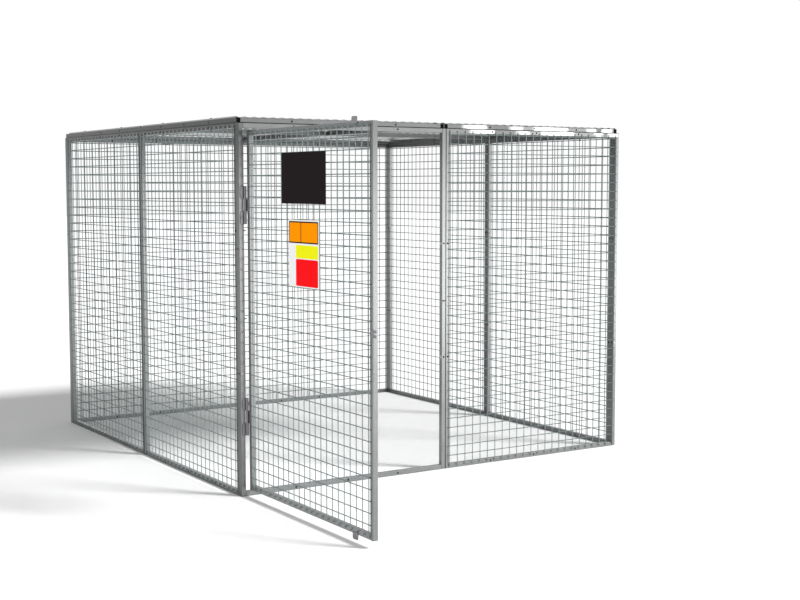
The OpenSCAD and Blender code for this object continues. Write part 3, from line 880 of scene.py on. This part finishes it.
def make_floor(settings):
    """One wide pale floor under the cage."""
    reach = settings.floor_reach
    mesh = bpy.data.meshes.new("studio_floor")
    mesh.from_pydata([(-reach, -reach, 0), (reach, -reach, 0), (reach, reach, 0), (-reach, reach, 0)], [],
                     [(0, 1, 2, 3)])
    mesh.materials.append(floor_paint(settings.floor_colour, settings.floor_bounce))
    added_object("studio_floor", mesh)


def make_world(settings):
    """White where it is seen, softer where it lights."""
    world = bpy.data.worlds.new("studio")
    bpy.context.scene.world = world
    world.use_nodes = True
    nodes = Nodes(world.node_tree)
    background = nodes.tree.nodes["Background"].inputs
    background["Color"].default_value = (1, 1, 1, 1)
    lit = settings.world_light
    nodes.feed(background["Strength"], lit + (1.0 - lit) * seen_rays(nodes))


def hang(name, lamp, place, back, mirrored):
    """Puts a lamp at a place with its back towards a direction, out of the camera's sight."""
    hung = added_object(name, lamp)
    hung.location = place
    hung.rotation_mode = "QUATERNION"
    hung.rotation_quaternion = back.to_track_quat("Z", "Y")
    hung.visible_camera = False
    hung.visible_glossy = mirrored


def make_sun(name, azimuth, height, strength, angle):
    """A soft distant lamp, not mirrored by metal. Azimuth 0 stands in front of the cage and 90 to its right."""
    lamp = bpy.data.lights.new(name, "SUN")
    lamp.energy = strength
    lamp.angle = angle
    back = Vector((math.sin(azimuth) * math.cos(height), -math.cos(azimuth) * math.cos(height), math.sin(height)))
    hang(name, lamp, (0, 0, 0), back, mirrored=False)


def make_softbox(name, place, aim, size, radiance, mirrored=True):
    """A large flat lamp whose face is radiance times as bright as a white backdrop."""
    lamp = bpy.data.lights.new(name, "AREA")
    lamp.shape = "RECTANGLE"
    lamp.size, lamp.size_y = size
    lamp.energy = radiance * math.pi * size[0] * size[1]
    hang(name, lamp, place, Vector(place) - Vector(aim), mirrored)


def make_camera():
    """The photograph's view of the cage, fitted to its corners."""
    lens = bpy.data.cameras.new("camera")
    lens.sensor_width = 36.0
    lens.lens = 60.09
    lens.clip_end = 200.0
    camera = added_object("camera", lens)
    camera.location = (-4.0795, -7.0976, 1.5204)
    down, heading = 0.0845, -0.5744
    camera.rotation_euler = (math.pi / 2 - down, 0.0, heading)
    bpy.context.scene.camera = camera


# Settings

def colour(name, description, default):
    return bpy.props.FloatVectorProperty(name=name, description=description, default=default, size=3,
                                         min=0.0, max=1.0, subtype="COLOR")


def length(name, description, millimetres):
    return bpy.props.FloatProperty(name=name, description=description, default=millimetres * MM,
                                   min=0.0, precision=5, unit="LENGTH")


def number(name, description, default, high):
    return bpy.props.FloatProperty(name=name, description=description, default=default, min=0.0, max=high)


def angle(name, description, degrees):
    return bpy.props.FloatProperty(name=name, description=description, default=math.radians(degrees),
                                   subtype="ANGLE")


class CageFinish(bpy.types.PropertyGroup):
    """Colours of the cage's metal, plastic and prints, and of some painted shade."""

    tube: colour("Tubes", "Zinc on the tubes", (0.24, 0.246, 0.246))
    # The uprights and cross wires are the same zinc: the cross wires' darker colour is painted shade
    upright: colour("Upright wires", "Zinc on the upright wires", (0.208, 0.265, 0.265))
    cross: colour("Cross wires", "Zinc on the cross wires", (0.147, 0.185, 0.185))
    # Painted shade: the back and right wires are a darker copy of the near wires' zinc
    far_wire_shade: number("Far wires", "Brightness of the back and right wires", 0.5, 2.0)
    sheet: colour("Roof", "Zinc on the roof sheets", (0.30, 0.31, 0.31))
    hinge: colour("Hinges", "Zinc on the hinges, tabs and lock", (0.21, 0.20, 0.215))
    weld: colour("Welds", "Weld metal", (0.10, 0.10, 0.10))
    spot: colour("Wire ends", "Weld metal at the ends of the wires", (0.19, 0.195, 0.195))
    bolt: colour("Bolts", "Plated bolts, washers and nuts", (0.50, 0.50, 0.49))
    screw: colour("Screws", "Self-drilling screws", (0.012, 0.012, 0.014))
    # Painted shade: the rims round the holes are near-black, darker than bare steel
    drilled: colour("Drilled edges", "Bare steel round the drilled holes", (0.010, 0.010, 0.010))
    plug: colour("Plugs", "Tube plugs", (0.003, 0.003, 0.003))
    upper_sign: colour("Upper plate", "The bare upper plate", (0.0125, 0.0095, 0.0103))
    lower_sign: colour("Lower plate", "The lower plate's ground", (0.86, 0.86, 0.86))
    orange: colour("Orange field", "Top field of the lower plate", (1.0, 0.30, 0.0))
    yellow: colour("Yellow field", "Middle field of the lower plate", (0.86, 0.86, 0.01))
    red: colour("Red field", "Bottom field of the lower plate", (0.95, 0.008, 0.012))
    flake: length("Zinc crystal", "Width of a zinc crystal", 5.0)


class CageWelds(bpy.types.PropertyGroup):
    """Sizes of the welds."""

    bead_width: length("Bead width", "Width of a weld bead", 4.0)
    bead_height: length("Bead height", "Height of a weld bead over the metal", 0.8)
    tab_run: length("Tab run", "Length of tab edge that is welded", 17.0)
    end_weld: length("End weld", "Radius of the weld at a wire's end", 2.6)
    hole: length("Hole", "Diameter of the drilled holes", 8.0)
    hole_rim: length("Hole rim", "Width of the bare rim round a drilled hole", 1.2)
    crossing_width: number("Crossing width", "Radius of the weld where wires cross, in wire radii", 1.1, 2.0)


class CageStage(bpy.types.PropertyGroup):
    """Floor and light. A lamp's brightness is 1 where it looks like a white backdrop."""

    floor_reach: length("Floor reach", "Half the side of the floor", 60000.0)
    floor_colour: colour("Floor", "Colour of the floor where it is seen", (0.93, 0.93, 0.93))
    floor_bounce: colour("Floor bounce", "Colour of the floor in the light that it throws back", (0.3, 0.3, 0.3))
    world_light: number("World light", "Strength of the light from all round", 0.42, 2.0)
    key_strength: number("Key light", "Strength of the light from the right", 3.9, 10.0)
    strip: number("Light strip", "Brightness of the low light strip", 4.8, 20.0)
    softbox: number("Softbox", "Brightness of the large softbox", 2.0, 20.0)
    fill: number("Left fill", "Brightness of the left fill", 9.0, 40.0)
    key_azimuth: angle("Key direction", "0 in front, 90 at the right", 42)
    key_height: angle("Key height", "Angle of the key light over the floor", 42)
    key_softness: angle("Key softness", "Apparent width of the key light", 14)


# Operators

class CAGE_OT_frames(bpy.types.Operator):
    """Zinc and welds of the wall frames, the roof frames and the door frame"""

    bl_idname = "cage.frames"
    bl_label = "Frames"

    def execute(self, context):
        finish, welds = context.scene.cage_finish, context.scene.cage_welds
        # Both tube finishes carry painted shade in hollows, in seams and towards the roof, and painted highlights
        posts, roof = (
            galvanised(name, finish.tube, finish.flake, 0.16, 0.32, 0.8, streaks,
                       hollow=45 * MM, seam_shading=seam_shading, eave_shade=eave_shade, highlighted=True)
            for name, streaks, seam_shading, eave_shade in (("zinc_on_tubes", (30, 30, 2.2), "posts", 0.48),
                                                ("zinc_on_roof_tubes", (9, 9, 30), "roof", 0.62)))
        bead = welded("weld_metal", finish.weld)
        for node in WALL_FRAMES + ROOF_FRAMES:
            wear(node, roof if node in ROOF_FRAMES else posts)
            surface = Surface()
            frame_welds(node, welds, surface)
            surface.make(node + "_welds", node, [bead], added=True)
        # Bare steel rims round the holes, painted near-black as shade of the holes
        surface = Surface()
        paint_hole_rim_shade(welds, surface)
        surface.make("shaded_hole_rims", "front_right_frame", [bare("hole_rim_shade", finish.drilled)], added=True)
        wear("roof_tube_plugs", moulded("black_plug", finish.plug))
        return {"FINISHED"}


class CAGE_OT_mesh(bpy.types.Operator):
    """Round welded wires of every mesh sheet"""

    bl_idname = "cage.mesh"
    bl_label = "Wire mesh"

    def execute(self, context):
        finish = context.scene.cage_finish
        spots = welded("wire_end_welds", finish.spot)
        paints = {}
        # The far wires get darker copies of the zinc: painted shade on the back and right walls
        for side, tone in (("near", 1.0), ("far", finish.far_wire_shade)):
            # The wires over the top rails get a painted sheen in a lighter copy of the tube colour
            uprights, rows = [
                galvanised("zinc_on_" + side + wires, shade(base, tone), 6 * MM, 0.12, 0.5, 0.3,
                           highlighted=side == "near", rail=shade(finish.tube, 1.3))
                for wires, base in (("_uprights", finish.upright), ("_cross_wires", finish.cross))]
            paints[side] = [uprights, rows, spots]
        for node in MESH_NODES:
            side = "far" if node.startswith(("right", "back")) else "near"
            weave(node, context.scene.cage_welds, paints[side])
        return {"FINISHED"}


class CAGE_OT_roof(bpy.types.Operator):
    """Corrugated roof sheets"""

    bl_idname = "cage.roof"
    bl_label = "Roof sheets"

    def execute(self, context):
        finish = context.scene.cage_finish
        zinc = galvanised("zinc_on_sheet", finish.sheet, 9 * MM, 0.16, 0.25, 0.8, (2, 12, 2))
        for node in ROOF_SHEETS:
            roof_sheet(node, zinc)
        return {"FINISHED"}


class CAGE_OT_hardware(bpy.types.Operator):
    """Hinges, stop tabs, lock fork and padlock lug with their welds"""

    bl_idname = "cage.hardware"
    bl_label = "Hinges and lock"

    def execute(self, context):
        finish, welds = context.scene.cage_finish, context.scene.cage_welds
        # The hinges' zinc carries painted shade in their hollows and along their joints
        steel = galvanised("zinc_on_hinges", finish.hinge, 4 * MM, 0.2, 0.32, 0.7, (20, 20, 8),
                           hollow=14 * MM, joint=3 * MM)
        for node in sorted(NODES):
            if SLOT_OF[node] == "hinge_steel":
                wear(node, steel)
        for node in ("top_stop_tab", "bottom_stop_tab", "lock_fork", "padlock_lug"):
            wear(node, steel)
        bead = welded("hinge_weld_metal", finish.weld)
        hinge_welds(welds, bead)
        plate_welds(welds, bead)
        return {"FINISHED"}


class CAGE_OT_signs(bpy.types.Operator):
    """The bare upper plate and the plain colour fields of the lower one"""

    bl_idname = "cage.signs"
    bl_label = "Sign plates"

    def execute(self, context):
        finish = context.scene.cage_finish
        wear("upper_sign_plate", printed("black_plate", finish.upper_sign))
        wear("lower_sign_plate", printed("white_plate", finish.lower_sign))
        sign_fields([printed(name + "_print", ink) for name, ink in (
            ("black", finish.upper_sign), ("orange", finish.orange), ("yellow", finish.yellow), ("red", finish.red))])
        return {"FINISHED"}


class CAGE_OT_fasteners(bpy.types.Operator):
    """Coach bolts, washers, nuts and self-drilling screws"""

    bl_idname = "cage.fasteners"
    bl_label = "Fasteners"

    def execute(self, context):
        finish = context.scene.cage_finish
        zinc = zinc_plated("plated_bolts", finish.bolt, 0.32)
        remake("coach_bolts", coach_bolt, zinc)
        remake("coach_bolt_washers", coach_washer, zinc)
        remake("coach_bolt_nuts", coach_nut, zinc)
        dark = zinc_plated("dark_screws", finish.screw, 0.4)
        for node in ("roof_screws", "post_screws"):
            remake(node, drill_screw, dark, sharp=50.0)
        return {"FINISHED"}


class CAGE_OT_stage(bpy.types.Operator):
    """Floor, light and camera"""

    bl_idname = "cage.stage"
    bl_label = "Stage"

    def execute(self, context):
        stage = context.scene.cage_stage
        make_floor(stage)
        make_world(stage)
        make_sun("key", stage.key_azimuth, stage.key_height, stage.key_strength, stage.key_softness)
        make_softbox("low_light_strip", (2.9, -5.4, 0.62), (0, -0.6, 0.62), (4.4, 0.7), stage.strip)
        make_softbox("front_right_softbox", (5.2, -8.6, 1.9), (0, -0.6, 1.0), (5.6, 3.2), stage.softbox)
        make_softbox("left_fill", (-9.0, -3.0, 1.2), (0, -1.0, 1.0), (6.0, 2.4), stage.fill, mirrored=False)
        make_camera()
        context.scene.view_settings.view_transform = "Standard"
        return {"FINISHED"}


OPERATORS = (CAGE_OT_frames, CAGE_OT_mesh, CAGE_OT_roof, CAGE_OT_hardware, CAGE_OT_signs, CAGE_OT_fasteners,
             CAGE_OT_stage)


class CAGE_PT_panel(bpy.types.Panel):
    """Lists the steps that dress the cage"""

    bl_idname = "CAGE_PT_panel"
    bl_label = "Gas cylinder cage"
    bl_space_type = "VIEW_3D"
    bl_region_type = "UI"
    bl_category = "Cage"

    def draw(self, context):
        for operator in OPERATORS:
            self.layout.operator(operator.bl_idname)


GROUPS = {"cage_finish": CageFinish, "cage_welds": CageWelds, "cage_stage": CageStage}
CLASSES = (*GROUPS.values(), *OPERATORS, CAGE_PT_panel)


def register():
    for kind in CLASSES:
        bpy.utils.register_class(kind)
    for name, group in GROUPS.items():
        setattr(bpy.types.Scene, name, bpy.props.PointerProperty(type=group))


def unregister():
    for name in GROUPS:
        delattr(bpy.types.Scene, name)
    for kind in reversed(CLASSES):
        bpy.utils.unregister_class(kind)


def main():
    register()
    for operator in OPERATORS:
        family, step = operator.bl_idname.split(".")
        getattr(getattr(bpy.ops, family), step)()


if __name__ == "__main__":
    main()
